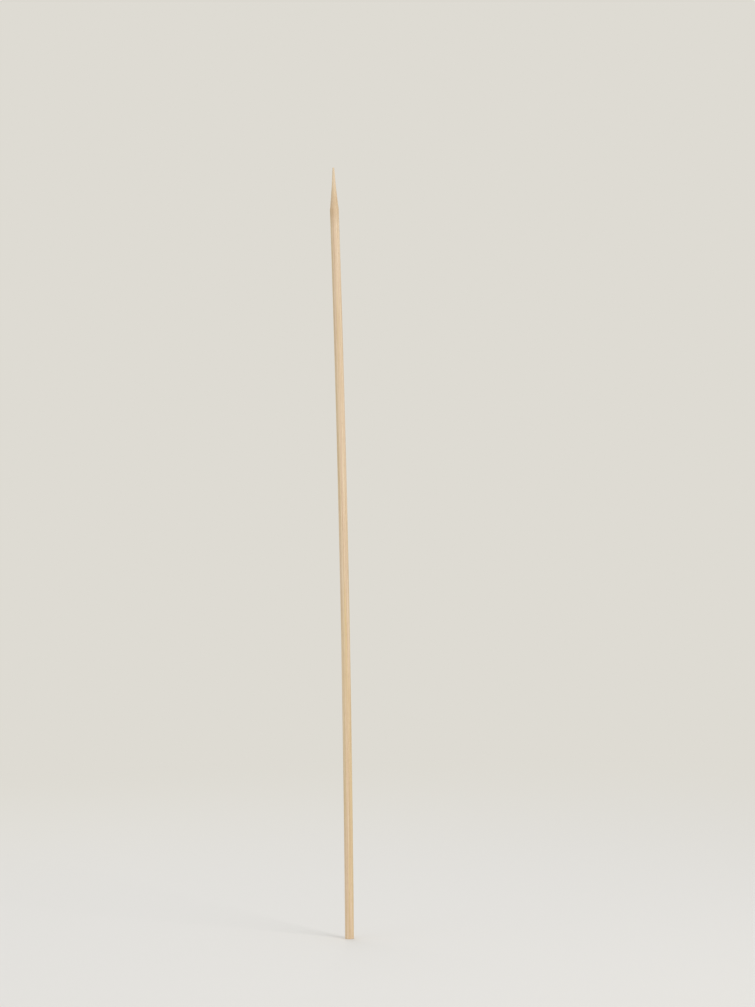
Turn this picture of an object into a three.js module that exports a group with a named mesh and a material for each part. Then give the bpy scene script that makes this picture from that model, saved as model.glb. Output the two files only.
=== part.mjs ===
import * as THREE from 'three';
import { toCreasedNormals } from 'three/addons/utils/BufferGeometryUtils.js';

// A round bamboo skewer in one piece: a split stick shaved round between two cutters, sawn square
// at the butt and ground to a hollow taper at the point. Millimetres, +Z up. The origin is the
// centre of the sawn butt, the point is above it, and the dried stick bows towards +X.

// Driving dimensions of the shank
const skewerLength = 350;
const shankDiameter = 4.1;
const acrossLands = 4; // between the narrow flats that are left where the two cutters meet
const bow = 1.2; // sideways bend at mid-length
const buttBevel = 0.15; // edge of the sawn face, broken by tumbling

// Driving dimensions of the ground point
const pointLength = 19;
const pointHollow = 0.15; // how deep the wheel's rim hollowed the taper
const pointRunout = 0.2; // how far the tip lies off the shank's own axis
const tipDiameter = 0.9; // where the taper meets the rounded nose
const noseHeight = 0.3;

// Fineness of the facets
const roundFacets = 48;
const shankSteps = 16;
const taperSteps = 8;
const noseSteps = 3;

const shankRadius = shankDiameter / 2;
const tipRadius = tipDiameter / 2;
const shoulderHeight = skewerLength - pointLength;
const noseBase = skewerLength - noseHeight;

// Radius of the ground taper at a share of the way from the shoulder, at 0, to the nose, at 1.
// The straight taper is hollowed by a shallow arc, deepest half-way.
function taperRadius(share) {
  const straight = THREE.MathUtils.lerp(shankRadius, tipRadius, share);
  return straight - 4 * pointHollow * share * (1 - share);
}

// Half outline as points of radius and height: from the centre of the butt out to its bevel, up
// the shank and the taper, and over the nose to the tip
function outline() {
  const points = [new THREE.Vector2(0, 0), new THREE.Vector2(shankRadius - buttBevel, 0)];
  for (let i = 0; i <= shankSteps; i += 1) {
    const height = THREE.MathUtils.lerp(buttBevel, shoulderHeight, i / shankSteps);
    points.push(new THREE.Vector2(shankRadius, height));
  }
  for (let i = 1; i <= taperSteps; i += 1) {
    const share = i / taperSteps;
    const height = THREE.MathUtils.lerp(shoulderHeight, noseBase, share);
    points.push(new THREE.Vector2(taperRadius(share), height));
  }
  for (let i = 1; i < noseSteps; i += 1) {
    const angle = (i / noseSteps) * (Math.PI / 2);
    const height = noseBase + noseHeight * Math.sin(angle);
    points.push(new THREE.Vector2(tipRadius * Math.cos(angle), height));
  }
  points.push(new THREE.Vector2(0, skewerLength));
  return points;
}

// Cuts the two lands, which face +X and -X
function shaveLands(geometry) {
  const { position } = geometry.attributes;
  const reach = acrossLands / 2;
  for (let i = 0; i < position.count; i += 1) {
    position.setX(i, THREE.MathUtils.clamp(position.getX(i), -reach, reach));
  }
}

// Sideways place of the stick's axis at a height: the bow of the whole stick is zero at both
// ends, and the point's run-out grows from the shoulder to the tip
function axisAt(height) {
  const share = height / skewerLength;
  const runout = pointRunout * Math.max(0, (height - shoulderHeight) / pointLength);
  return 4 * bow * share * (1 - share) + runout;
}

function bend(geometry) {
  const { position } = geometry.attributes;
  for (let i = 0; i < position.count; i += 1) {
    position.setX(i, position.getX(i) + axisAt(position.getZ(i)));
  }
}

function makeSkewer() {
  const stick = new THREE.LatheGeometry(outline(), roundFacets);
  stick.rotateX(Math.PI / 2);
  shaveLands(stick);
  bend(stick);
  const bamboo = new THREE.MeshStandardMaterial({ color: 0xdbc3a2, roughness: 0.6, metalness: 0 });
  const creaseAngle = Math.PI / 6;
  const skewer = new THREE.Mesh(toCreasedNormals(stick, creaseAngle), bamboo);
  skewer.name = 'skewer';
  return skewer;
}

const group = new THREE.Group();
group.add(makeSkewer());

export default group;
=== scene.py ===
import math

import bpy
import numpy as np
from mathutils import Matrix, Vector


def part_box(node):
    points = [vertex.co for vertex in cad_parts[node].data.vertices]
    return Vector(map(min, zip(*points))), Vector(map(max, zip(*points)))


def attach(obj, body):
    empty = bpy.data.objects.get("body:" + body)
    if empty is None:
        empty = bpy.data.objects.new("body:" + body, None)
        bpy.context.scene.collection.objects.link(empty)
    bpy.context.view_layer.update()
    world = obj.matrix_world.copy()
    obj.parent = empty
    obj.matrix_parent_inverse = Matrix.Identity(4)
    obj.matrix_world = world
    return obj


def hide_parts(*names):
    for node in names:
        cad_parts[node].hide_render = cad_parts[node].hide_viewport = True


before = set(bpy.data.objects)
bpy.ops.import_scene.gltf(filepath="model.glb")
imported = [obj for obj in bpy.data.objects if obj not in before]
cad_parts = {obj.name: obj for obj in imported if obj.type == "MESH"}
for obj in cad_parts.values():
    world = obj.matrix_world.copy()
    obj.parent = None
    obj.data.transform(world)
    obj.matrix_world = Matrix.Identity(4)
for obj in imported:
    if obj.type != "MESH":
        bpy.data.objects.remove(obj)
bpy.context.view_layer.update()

# A round bamboo skewer: cream, straight-grained, sawn square at the butt and ground to a point.
# It stands on its butt, as it is held. Lengths are in metres where no note says otherwise.

mm = 0.001
lowest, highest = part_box("skewer")

# The stick's own sizes. The lands limit the solid at -X, and the bow adds to them at +X.
stickLength = highest.z
stickRadius = highest.y
landReach = -lowest.x
stickBow = highest.x - landReach


# Colour written as on a screen, 0 to 255 a channel, to the linear values that a shader takes
def colour(red, green, blue):
    screen = np.array([red, green, blue]) / 255
    linear = np.where(screen > 0.04045, ((screen + 0.055) / 1.055) ** 2.4, screen / 12.92)
    return (*linear.tolist(), 1.0)


# Eased step: three times the share squared less twice its cube, flat at 0 and at 1
def ease(share):
    share = np.clip(share, 0, 1)
    return share * share * (3 - 2 * share)


print("stage: camera and studio")

picture = {
    "size": (755, 1007),  # pixels
    "tip": (332.9, 167.5),  # where the stick's straight chord starts and ends in the picture
    "butt": (349.5, 938.5),
    "distance": 1.25,  # from the stick to the lens
    "sensorHeight": 36,  # millimetres
    "nearest": 0.01,  # what is nearer to the lens isn't drawn
}


# The camera looks level along +Y and is rolled by the stick's lean. The picture's centre lies off
# the chord's middle by the same number of pixels as in the picture.
def addCamera():
    tip, butt = np.array(picture["tip"]), np.array(picture["butt"])
    chord = butt - tip
    perPixel = stickLength / np.hypot(*chord)
    roll = math.atan2(chord[0], chord[1])
    right = Vector((math.cos(roll), 0, -math.sin(roll)))
    up = Vector((math.sin(roll), 0, math.cos(roll)))
    offset = (np.array(picture["size"]) / 2 - (tip + butt) / 2) * perPixel
    middle = Vector((0, 0, stickLength / 2))
    centre = middle + right * offset[0] - up * offset[1]
    back = Vector((0, -1, 0))

    data = bpy.data.cameras.new("camera")
    data.sensor_fit = "VERTICAL"
    data.sensor_height = picture["sensorHeight"]
    data.sensor_width = picture["sensorHeight"]
    pictureHeight = picture["size"][1] * perPixel
    data.lens = picture["distance"] * picture["sensorHeight"] / pictureHeight
    data.clip_start = picture["nearest"]
    camera = bpy.data.objects.new("camera", data)
    turn = Matrix((right, up, back)).transposed()
    camera.matrix_world = Matrix.Translation(centre + back * picture["distance"]) @ turn.to_4x4()
    bpy.context.scene.collection.objects.link(camera)
    bpy.context.scene.camera = camera


studio = {
    "floorSize": 16.0,
    "fade": (0.08, 0.85),  # how far from the stick the floor starts and ends turning into backdrop
    "floorColour": colour(225, 223, 219),
    "floorRoughness": 0.9,
    "floorShine": 0.2,
    "wallColour": colour(222, 219, 211),
    "worldColour": colour(253, 254, 255),
    "worldStrength": 0.72,
}

lamps = {
    "key": {"place": (0.95, -1.05, 0.85), "size": 0.6, "watts": 9.5, "colour": (1.0, 0.98, 0.95)},
    "fill": {"place": (-1.3, -0.9, 0.6), "size": 1.2, "watts": 3.5, "colour": (0.96, 0.98, 1.0)},
    "back": {"place": (-0.5, 1.6, 0.8), "size": 1.4, "watts": 9.0, "colour": (1.0, 0.99, 0.97)},
}


# A flat square that reaches half its size to each side
def addFloor():
    half = studio["floorSize"] / 2
    corners = [(-half, -half, 0), (half, -half, 0), (half, half, 0), (-half, half, 0)]
    sheetMesh = bpy.data.meshes.new("floor")
    sheetMesh.from_pydata(corners, [], [(0, 1, 2, 3)])
    sheetMesh.update()
    floor = bpy.data.objects.new("floor", sheetMesh)
    bpy.context.scene.collection.objects.link(floor)
    return floor


# A square lamp, turned to face the middle of the stick
def addLamp(name, lamp):
    data = bpy.data.lights.new(name, "AREA")
    data.shape = "SQUARE"
    data.size = lamp["size"]
    data.energy = lamp["watts"]
    data.color = lamp["colour"]
    light = bpy.data.objects.new(name, data)
    place = Vector(lamp["place"])
    aim = Vector((0, 0, stickLength / 2)) - place
    turn = aim.to_track_quat("-Z", "Y").to_matrix()
    light.matrix_world = Matrix.Translation(place) @ turn.to_4x4()
    bpy.context.scene.collection.objects.link(light)


# Adds a node. Each input, by name or number, gets a value or another node's output.
def addNode(tree, kind, inputs=None, **settings):
    made = tree.nodes.new(kind)
    for name, value in settings.items():
        setattr(made, name, value)
    for name, value in (inputs or {}).items():
        if isinstance(value, bpy.types.NodeSocket):
            tree.links.new(value, made.inputs[name])
        else:
            made.inputs[name].default_value = value
    return made


# Two colours mixed by a share; the numbers are the colour sockets of Blender's Mix node
def mixColour(tree, share, first, second):
    made = addNode(tree, "ShaderNodeMix", {0: share, 6: first, 7: second}, data_type="RGBA")
    return made.outputs[2]


# One range of values laid over another, held at both ends, in even steps or eased
def mapValue(tree, value, fromLow, fromHigh, toLow=0.0, toHigh=1.0, smooth=False):
    made = addNode(tree, "ShaderNodeMapRange", {
        "Value": value, "From Min": fromLow, "From Max": fromHigh,
        "To Min": toLow, "To Max": toHigh,
    }, clamp=True, interpolation_type="SMOOTHSTEP" if smooth else "LINEAR")
    return made.outputs["Result"]


def calculate(tree, operation, first, second):
    return addNode(tree, "ShaderNodeMath", {0: first, 1: second}, operation=operation).outputs[0]


def newMaterial(name):
    material = bpy.data.materials.new(name)
    material.use_nodes = True
    return material, material.node_tree, material.node_tree.nodes["Principled BSDF"]


# 1 where the picture, a reflection or a clear material looks straight at a surface, 0 elsewhere,
# as where the surface only lights others
def isSeen(tree):
    path = addNode(tree, "ShaderNodeLightPath").outputs
    seen = calculate(tree, "MAXIMUM", path["Is Camera Ray"], path["Is Glossy Ray"])
    return calculate(tree, "MAXIMUM", seen, path["Is Transmission Ray"])


# Matt paper that turns into the backdrop's own colour away from the stick. What looks straight at
# it sees that colour, and the light that it throws back is the plain paper's.
def paperMaterial():
    material, tree, shader = newMaterial("matt paper")
    shader.inputs["Base Color"].default_value = studio["floorColour"]
    shader.inputs["Roughness"].default_value = studio["floorRoughness"]
    shader.inputs["Specular IOR Level"].default_value = studio["floorShine"]
    place = addNode(tree, "ShaderNodeTexCoord").outputs["Object"]
    away = addNode(tree, "ShaderNodeVectorMath", {0: place}, operation="LENGTH").outputs["Value"]
    share = mapValue(tree, away, *studio["fade"], smooth=True)
    share = calculate(tree, "MULTIPLY", share, isSeen(tree))
    backdrop = addNode(tree, "ShaderNodeEmission", {"Color": studio["wallColour"]})
    made = addNode(tree, "ShaderNodeMixShader", {
        0: share, 1: shader.outputs["BSDF"], 2: backdrop.outputs["Emission"],
    })
    tree.links.new(made.outputs["Shader"], tree.nodes["Material Output"].inputs["Surface"])
    return material


# Even light from all round, seen as a plain backdrop
def setWorld():
    world = bpy.data.worlds.new("soft room")
    world.use_nodes = True
    tree = world.node_tree
    light = tree.nodes["Background"]
    light.inputs["Color"].default_value = studio["worldColour"]
    light.inputs["Strength"].default_value = studio["worldStrength"]
    backdrop = addNode(tree, "ShaderNodeBackground", {"Color": studio["wallColour"]})
    made = addNode(tree, "ShaderNodeMixShader", {
        0: isSeen(tree), 1: light.outputs["Background"], 2: backdrop.outputs["Background"],
    })
    tree.links.new(made.outputs["Shader"], tree.nodes["World Output"].inputs["Surface"])
    bpy.context.scene.world = world


addCamera()
setWorld()
for name, lamp in lamps.items():
    addLamp(name, lamp)
floor = addFloor()
floor.data.materials.append(paperMaterial())
bpy.context.scene.view_settings.view_transform = "Standard"

print("stage: the stick's shape")

# Lengths are in metres, written as millimetres times mm. A pair gives the range of a random draw.
# What ends in Around is how many lattice points an unevenness has round the stick.
point = {
    "length": 19 * mm,
    "hollow": 0.15 * mm,
    "runout": 0.2 * mm,
    "tipRadius": 0.45 * mm,
    "noseHeight": 0.3 * mm,
    "shoulderBlend": 1.2 * mm,  # how gently the shaved surface turns into the ground one
    "ringPitch": 0.22 * mm,  # marks left by the wheel
    "ringDepth": 0.005 * mm,
    "ringAround": 5,
    "wobble": 0.02 * mm,  # how far the taper is from round
    "lobes": 3,
    "lobeTwist": 2,  # radians of the lobes' wave over the point's length
    "frayed": 0.05 * mm,  # unevenness of the nose
    "frayedPitch": 0.14 * mm,
    "frayedAround": 9,
    "keptGrooves": 0.15,  # share of the grooves' depth that the wheel left
}

butt = {
    "bevel": 0.15 * mm,
    "sawPitch": 0.42 * mm,
    "sawDepth": 0.014 * mm,
    "sawReach": 55 * mm,  # from the face to the middle of the saw's arcs
    "sawAngle": 0.6,  # radians, where that middle lies
    "crossSlope": 0.4,  # the way of a second, fainter set of waves, along Y for each step along X
    "crossPitch": 0.97 * mm,
    "crossShare": 0.3,
    "chips": 9,
    "chipDepth": (0.027 * mm, 0.09 * mm),
    "chipWidth": (0.13 * mm, 0.4 * mm),
    "chipHeight": (0.2 * mm, 0.75 * mm),
    "chipInward": 0.2,  # share of the face's radius that a chip reaches in
    "fineHeight": 1.15 * mm,  # up to here the rings stand close, for the chips
}

shank = {
    "grooves": 130,
    "grooveDepth": (0.01 * mm, 0.05 * mm),
    "grooveWidth": (0.16 * mm, 0.4 * mm),
    "grooveLength": (30 * mm, 240 * mm),
    "grooveEnds": 0.25,  # share of a groove's length in which it deepens, and again fades
    "grooveDrift": 0.03,  # radians that a groove wanders to each side
    "driftLength": 210 * mm,
    "liftedFibres": 26,
    "liftHeight": 0.06 * mm,
    "liftWidth": (0.12 * mm, 0.26 * mm),
    "liftLength": (3 * mm, 12 * mm),
    "lowestLift": 7 * mm,  # the lowest height at which a lifted fibre breaks off
    "wander": 0.012 * mm,  # slow change of thickness
    "wanderPitch": 45 * mm,
    "wanderAround": 3,
    "grain": 0.003 * mm,  # fine unevenness of the shank
    "grainPitch": 4 * mm,
    "grainAround": 64,
    "seed": 41,
}

# How many columns go round the stick, and how many rings each stretch of it has
fineness = {
    "around": 180,
    "face": 22,
    "bevel": 6,
    "buttStretch": 14,
    "shank": 350,
    "taper": 130,
    "nose": 12,
}

shoulder = stickLength - point["length"]
noseBase = stickLength - point["noseHeight"]
chance = np.random.default_rng(shank["seed"])


# Half outline, as radius and height of each ring: out across the sawn face, round the bevel, up
# the shank, in along the taper less a shallow arc, and over the nose as a quarter ellipse
def outline():
    bevel = butt["bevel"]
    faceRadius = (stickRadius - bevel) * np.linspace(0, 1, fineness["face"] + 1)[1:]
    turn = np.linspace(0, math.pi / 2, fineness["bevel"] + 1)[1:]
    bevelRadius = stickRadius - bevel * (1 - np.sin(turn))
    bevelHeight = bevel * (1 - np.cos(turn))
    stretch = np.linspace(bevel, butt["fineHeight"], fineness["buttStretch"] + 1)[1:]
    run = np.linspace(butt["fineHeight"], shoulder, fineness["shank"] + 1)[1:]
    share = np.linspace(0, 1, fineness["taper"] + 1)[1:]
    straight = stickRadius + (point["tipRadius"] - stickRadius) * share
    taperRadius = straight - 4 * point["hollow"] * share * (1 - share)
    taperHeight = shoulder + (noseBase - shoulder) * share
    over = np.linspace(0, math.pi / 2, fineness["nose"] + 1)[1:-1]
    upright = np.concatenate([stretch, run])
    radius = np.concatenate([
        faceRadius, bevelRadius, np.full(len(upright), stickRadius), taperRadius,
        point["tipRadius"] * np.cos(over),
    ])
    height = np.concatenate([
        np.zeros(fineness["face"]), bevelHeight, upright, taperHeight,
        noseBase + point["noseHeight"] * np.sin(over),
    ])
    return radius[:, None], height[:, None]


# Soft noise between -1 and 1: random heights on a lattice that closes round the stick, eased from
# one lattice point to the next along both directions
def softNoise(height, angle, pitch, around):
    lattice = chance.uniform(-1, 1, (int(stickLength / pitch) + 3, around))
    row = height / pitch
    column = angle / (2 * math.pi) * around
    below, left = np.floor(row).astype(int), np.floor(column).astype(int)
    upShare, sideShare = ease(row - below), ease(column - left)
    left, right = left % around, (left + 1) % around
    low = lattice[below, left] * (1 - sideShare) + lattice[below, right] * sideShare
    high = lattice[below + 1, left] * (1 - sideShare) + lattice[below + 1, right] * sideShare
    return low * (1 - upShare) + high * upShare


# Share from 1 on the line at that angle to 0 at half a width from it, as a squared parabola
def acrossLine(angle, centre, width):
    apart = (angle - centre + math.pi) % (2 * math.pi) - math.pi
    away = apart * stickRadius / (width / 2)
    return np.clip(1 - away * away, 0, 1) ** 2


# Depth of the grooves between fibres: each runs up the stick at an angle that drifts as a sine of
# the height, and eases out at both ends
def grooveDepth(height, angle):
    depth = np.zeros(np.broadcast_shapes(height.shape, angle.shape))
    for _ in range(shank["grooves"]):
        centre = chance.uniform(0, 2 * math.pi)
        width = chance.uniform(*shank["grooveWidth"])
        deep = chance.uniform(*shank["grooveDepth"])
        long = chance.uniform(*shank["grooveLength"])
        start = chance.uniform(-0.5 * long, stickLength - 0.5 * long)
        phase = chance.uniform(0, 2 * math.pi)
        drift = shank["grooveDrift"] * np.sin(2 * math.pi * height / shank["driftLength"] + phase)
        ends = shank["grooveEnds"] * long
        along = ease((height - start) / ends) * ease((start + long - height) / ends)
        depth = np.maximum(depth, deep * along * acrossLine(angle, centre + drift, width))
    return depth


# Height of fibres that have lifted: a narrow ridge that rises steadily and then breaks off
def liftedHeight(height, angle):
    lifted = np.zeros(np.broadcast_shapes(height.shape, angle.shape))
    for _ in range(shank["liftedFibres"]):
        centre = chance.uniform(0, 2 * math.pi)
        long = chance.uniform(*shank["liftLength"])
        end = chance.uniform(shank["lowestLift"], shoulder)
        rise = np.clip(1 - (end - height) / long, 0, 1) * (height <= end)
        width = chance.uniform(*shank["liftWidth"])
        lifted = np.maximum(lifted, shank["liftHeight"] * rise * acrossLine(angle, centre, width))
    return lifted


# Depth of the notches torn from the butt's rim, deepest at the face and gone a little way up
def chipDepth(height, angle):
    depth = np.zeros(np.broadcast_shapes(height.shape, angle.shape))
    for _ in range(butt["chips"]):
        centre = chance.uniform(0, 2 * math.pi)
        width = chance.uniform(*butt["chipWidth"])
        deep = chance.uniform(*butt["chipDepth"])
        tall = chance.uniform(*butt["chipHeight"])
        fade = 1 - ease(height / tall)
        depth = np.maximum(depth, deep * fade * acrossLine(angle, centre, width))
    return depth


# How far the sawn face is cut into the stick: waves on arcs about the saw's centre, which lies in
# the face's plane well outside the stick, and fainter straight waves across them
def sawnDepth(x, y):
    turn = butt["sawAngle"]
    away = np.hypot(x - butt["sawReach"] * math.cos(turn), y - butt["sawReach"] * math.sin(turn))
    wave = 0.5 + 0.5 * np.sin(2 * math.pi * away / butt["sawPitch"])
    cross = 0.5 + 0.5 * np.sin(2 * math.pi * (x + y * butt["crossSlope"]) / butt["crossPitch"])
    return butt["sawDepth"] * (wave + butt["crossShare"] * (cross - wave))


# Sideways place of the axis at a height: the bow is a parabola that is zero at both ends, and the
# run-out grows evenly from the shoulder to the tip
def axisAt(height):
    share = height / stickLength
    runout = point["runout"] * np.clip((height - shoulder) / point["length"], 0, None)
    return 4 * stickBow * share * (1 - share) + runout


# How far the surface lies inside the plain outline: grooves less lifted fibres, slow changes, fine
# grain on the shank, a lobed section and ring marks on the ground point, and an uneven nose. The
# unevenness of each is a depth times 1 plus soft noise.
def surfaceDepth(height, angle):
    def uneven(deep, pitch, around):
        return deep * (1 + softNoise(height, angle, pitch, around))

    ground = ease((height - shoulder) / point["shoulderBlend"] + 0.5)
    nose = ease((height - noseBase) / point["noseHeight"] + 0.5)
    kept = 1 - (1 - point["keptGrooves"]) * ground
    depth = grooveDepth(height, angle) * kept - liftedHeight(height, angle) * (1 - ground)
    depth = depth + uneven(shank["wander"], shank["wanderPitch"], shank["wanderAround"])
    grain = uneven(shank["grain"], shank["grainPitch"], shank["grainAround"])
    rings = uneven(point["ringDepth"], point["ringPitch"], point["ringAround"])
    frayed = uneven(point["frayed"], point["frayedPitch"], point["frayedAround"])
    lobed = 1 + np.cos(point["lobes"] * angle + point["lobeTwist"] * height / point["length"])
    depth = depth + grain * (1 - ground) + rings * ground
    return depth + point["wobble"] * lobed * ground + frayed * nose


# The stick as a surface of height along the outline and angle round it: the outline's radius less
# the depth, which fades inwards from the rim of the sawn face and towards the tip, and with the
# lands cut flat. It is straight here, and is bowed only in the mesh.
def stickPoints():
    radius, height = outline()
    angle = np.linspace(0, 2 * math.pi, fineness["around"], endpoint=False)[None, :]
    onFace = height == 0
    rim = ease((radius / (stickRadius - butt["bevel"]) - 1) / butt["chipInward"] + 1)
    share = np.where(onFace, rim, 1) * np.minimum(1, radius / point["tipRadius"])
    reach = radius - (surfaceDepth(height, angle) + chipDepth(height, angle)) * share

    straight = np.empty((*reach.shape, 3))
    straight[..., 0] = np.clip(reach * np.cos(angle), -landReach, landReach)
    straight[..., 1] = reach * np.sin(angle)
    straight[..., 2] = height + sawnDepth(straight[..., 0], straight[..., 1]) * onFace
    return straight


# The texture sheet: the stick's side is cut into equal lengths that stand side by side, each
# unrolled flat, and the sawn face is a disc in the free band above them. Shares of the sheet.
sheet = {
    "strips": 4,
    "gap": 0.02,  # of a strip's width, left free at each side
    "low": 0.003,  # where the strips start and end
    "high": 0.9,
    "disc": (0.06, 0.956),  # its centre
    "discRadius": 0.038,
}


# Sheet places of the corners of each ring's faces. Across a strip they follow the angle. Up it
# they follow the way along the outline from the rim of the sawn face, less what lies below the
# strip. On the disc they are the face's own places, mirrored, because it is seen from below.
def unrolled(straight):
    rings, around = straight.shape[:2]
    rim = fineness["face"] - 1
    radius = np.hypot(straight[..., 0], straight[..., 1]).mean(axis=1)
    height = straight[..., 2].mean(axis=1)
    steps = np.hypot(np.diff(radius, append=0), np.diff(height, append=stickLength))
    way = np.concatenate([[0], np.cumsum(steps)])
    way = way - way[rim]
    long = way[-1] / sheet["strips"]
    ring, column = np.arange(rings - 1)[:, None, None], np.arange(around)[None, :, None]
    strip = np.clip(np.floor(way[ring] / long), 0, sheet["strips"] - 1)
    share = (column + np.array([0, 1, 1, 0])) / around
    across = (strip + sheet["gap"] + (1 - 2 * sheet["gap"]) * share) / sheet["strips"]
    rise = (sheet["high"] - sheet["low"]) / long
    up = sheet["low"] + rise * (way[ring + np.array([0, 0, 1, 1])] - strip * long)
    places = np.stack(np.broadcast_arrays(across, up), axis=-1)

    face = straight[:rim + 1, :, :2] * [-1, 1] * sheet["discRadius"] / stickRadius + sheet["disc"]
    beside = np.roll(face, -1, axis=1)
    places[:rim] = np.stack([face[:-1], beside[:-1], beside[1:], face[1:]], axis=2)
    middle = np.broadcast_to(sheet["disc"], (around, 2))
    bottom = np.stack([middle, beside[0], face[0]], axis=1)
    top = places[-1][:, [3, 3, 2]]
    top[:, 0] = top[:, 1:].mean(axis=1) + [0, rise * steps[-1]]
    return np.concatenate([places.reshape(-1, 2), bottom.reshape(-1, 2), top.reshape(-1, 2)])


# Closes a grid of rings into a mesh, with a point at each end. Rings run from the butt to the tip,
# and columns go round anticlockwise, seen from the tip, so every face looks outwards.
def closedMesh(name, straight):
    rings, around = straight.shape[:2]
    places = np.concatenate([
        [[0, 0, straight[0, :, 2].mean()]], straight.reshape(-1, 3), [[0, 0, stickLength]],
    ])
    ring = 1 + np.arange(rings * around).reshape(rings, around)
    beside = np.roll(ring, -1, axis=1)
    quads = np.stack([ring[:-1], beside[:-1], beside[1:], ring[1:]], axis=-1).reshape(-1, 4)
    last = len(places) - 1
    bottom = np.stack([np.zeros(around, int), beside[0], ring[0]], axis=-1)
    top = np.stack([np.full(around, last), ring[-1], beside[-1]], axis=-1)

    bowed = places.copy()
    bowed[:, 0] += axisAt(places[:, 2])
    made = bpy.data.meshes.new(name)
    made.from_pydata(bowed.tolist(), [], quads.tolist() + bottom.tolist() + top.tolist())
    made.polygons.foreach_set("use_smooth", np.ones(len(made.polygons), bool))
    grain = made.attributes.new("grain", "FLOAT_VECTOR", "POINT")
    grain.data.foreach_set("vector", (places / mm).astype(np.float32).ravel())
    layer = made.uv_layers.new(name="OFBake")
    layer.uv.foreach_set("vector", unrolled(straight).astype(np.float32).ravel())
    made.update()
    return made


print("stage: bamboo")

bamboo = {
    "tipColour": colour(216, 194, 163),
    "buttColour": colour(223, 195, 158),
    # Noise patterns: how far each is drawn out across the grain and along it, in millimetres, its
    # levels of finer detail, and how strong each level is against the one before
    "noises": {
        "tone": (1.1, 85, 1.0, 0.5),
        "streaks": (0.42, 60, 1.0, 0.5),
        "fibres": (0.1, 16, 3.0, 0.7),
        "pores": (0.07, 2.4, 0.0, 0.5),
    },
    "bundleSize": (0.45, 110),  # the same two lengths for the cells that the fibre bundles fill
    "bundleEdge": (0.38, 0.2),  # how near to a cell's middle a bundle starts and is full
    # Layers of colour, laid on in this order: the pattern that each follows, the pattern's values
    # where the layer starts and where it is full, how strong it is there, and its colour
    "layers": (
        ("tone", 0.48, 0.66, 0.75, colour(212, 188, 138)),  # straw
        ("tone", 0.48, 0.34, 0.65, colour(218, 190, 165)),  # pinkish
        ("streaks", 0.52, 0.68, 0.7, colour(227, 208, 179)),  # cream
        ("streaks", 0.46, 0.3, 0.55, colour(196, 166, 126)),  # tan
        ("sawn", 0.0, 1.0, 0.75, colour(210, 180, 136)),
        ("fibres", 0.52, 0.68, 0.6, colour(190, 158, 114)),
        ("fibres", 0.46, 0.32, 0.55, colour(232, 216, 190)),
        ("bundles", 0.0, 1.0, 0.35, colour(184, 148, 102)),
        ("sawnBundles", 0.1, 0.9, 0.55, colour(148, 108, 66)),
        ("pores", 0.74, 0.8, 0.5, colour(150, 114, 74)),
        ("ground", 0.0, 1.0, 0.3, colour(218, 197, 166)),
        # a darker, warmer band painted round the shoulder, where the ground point starts
        ("shoulderBand", 0.0, 1.0, 0.42, colour(190, 158, 118)),
    ),
    # Heights in millimetres where a colour starts and where it is full
    "sawnEdge": (0.12, 0.03),  # of the sawn face
    "groundEdge": (-0.3, 0.5),  # of the ground point, from the shoulder
    "shoulderBandRise": (-9, 0),  # of the darker, warmer band round the shoulder, from below, from the shoulder
    "shoulderBandFall": (11, 4),  # the same from above
    "fibreShine": (0.3, 0.7),  # the fibres' values at which the roughness has its two limits
    "roughness": (0.48, 0.68),
    "bundleRelief": 0.6,  # how far bundles sink, against fibres
    "bumpDistance": 0.04 * mm,
    "bumpStrength": 0.85,
}


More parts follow.
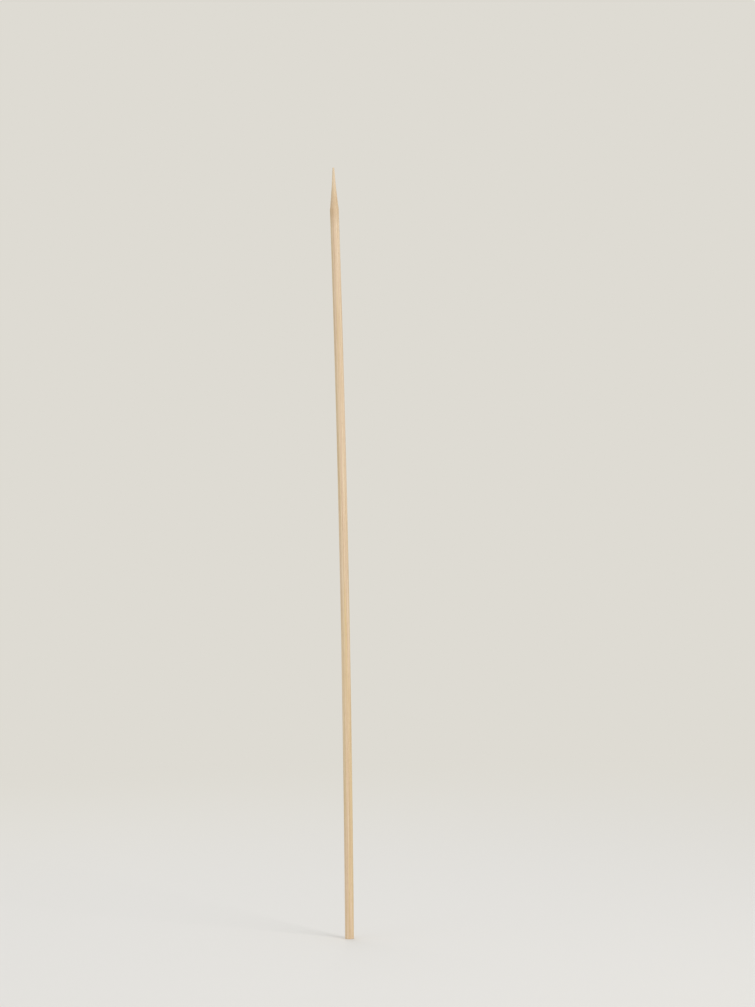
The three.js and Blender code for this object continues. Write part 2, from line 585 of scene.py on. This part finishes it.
# The grain follows the stick: patterns read its straightened places, drawn out along it
def bambooPatterns(tree):
    grain = addNode(tree, "ShaderNodeAttribute", attribute_name="grain").outputs["Vector"]
    height = addNode(tree, "ShaderNodeSeparateXYZ", {0: grain}).outputs["Z"]

    def drawnOut(across, along):
        scale = (1 / across, 1 / across, 1 / along)
        made = addNode(tree, "ShaderNodeVectorMath", {0: grain, 1: scale}, operation="MULTIPLY")
        return made.outputs["Vector"]

    patterns = {"height": height}
    for name, (across, along, detail, roughness) in bamboo["noises"].items():
        patterns[name] = addNode(tree, "ShaderNodeTexNoise", {
            "Vector": drawnOut(across, along), "Scale": 1.0,
            "Detail": detail, "Roughness": roughness,
        }).outputs[0]

    cells = addNode(tree, "ShaderNodeTexVoronoi", {
        "Vector": drawnOut(*bamboo["bundleSize"]), "Scale": 1.0,
    })
    patterns["bundles"] = mapValue(tree, cells.outputs["Distance"], *bamboo["bundleEdge"])
    patterns["sawn"] = mapValue(tree, height, *bamboo["sawnEdge"])
    patterns["sawnBundles"] = calculate(tree, "MULTIPLY", patterns["sawn"], patterns["bundles"])

    fromShoulder = calculate(tree, "SUBTRACT", height, shoulder / mm)
    rise = mapValue(tree, fromShoulder, *bamboo["shoulderBandRise"], smooth=True)
    fall = mapValue(tree, fromShoulder, *bamboo["shoulderBandFall"], smooth=True)
    patterns["ground"] = mapValue(tree, fromShoulder, *bamboo["groundEdge"])
    patterns["shoulderBand"] = calculate(tree, "MULTIPLY", rise, fall)
    return patterns


# The colour goes evenly from butt to tip under the layers. The fibres give the gloss, and with the
# sunken bundles a fine relief.
def bambooMaterial():
    material, tree, shader = newMaterial("shaved bamboo")
    patterns = bambooPatterns(tree)
    share = mapValue(tree, patterns["height"], 0.0, stickLength / mm)
    base = mixColour(tree, share, bamboo["buttColour"], bamboo["tipColour"])
    for pattern, start, full, strength, tint in bamboo["layers"]:
        share = mapValue(tree, patterns[pattern], start, full, 0.0, strength)
        base = mixColour(tree, share, base, tint)
    tree.links.new(base, shader.inputs["Base Color"])

    shine = mapValue(tree, patterns["fibres"], *bamboo["fibreShine"], *bamboo["roughness"])
    tree.links.new(shine, shader.inputs["Roughness"])
    sunk = calculate(tree, "MULTIPLY", patterns["bundles"], bamboo["bundleRelief"])
    relief = calculate(tree, "SUBTRACT", sunk, patterns["fibres"])
    bump = addNode(tree, "ShaderNodeBump", {
        "Strength": bamboo["bumpStrength"], "Distance": bamboo["bumpDistance"], "Height": relief,
    })
    tree.links.new(bump.outputs["Normal"], shader.inputs["Normal"])
    return material


stickMesh = closedMesh("bamboo_stick", stickPoints())
stickMesh.materials.append(bambooMaterial())
stick = bpy.data.objects.new("bamboo_stick", stickMesh)
bpy.context.scene.collection.objects.link(stick)
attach(stick, "root")
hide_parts("skewer")

print("stage: sizes")
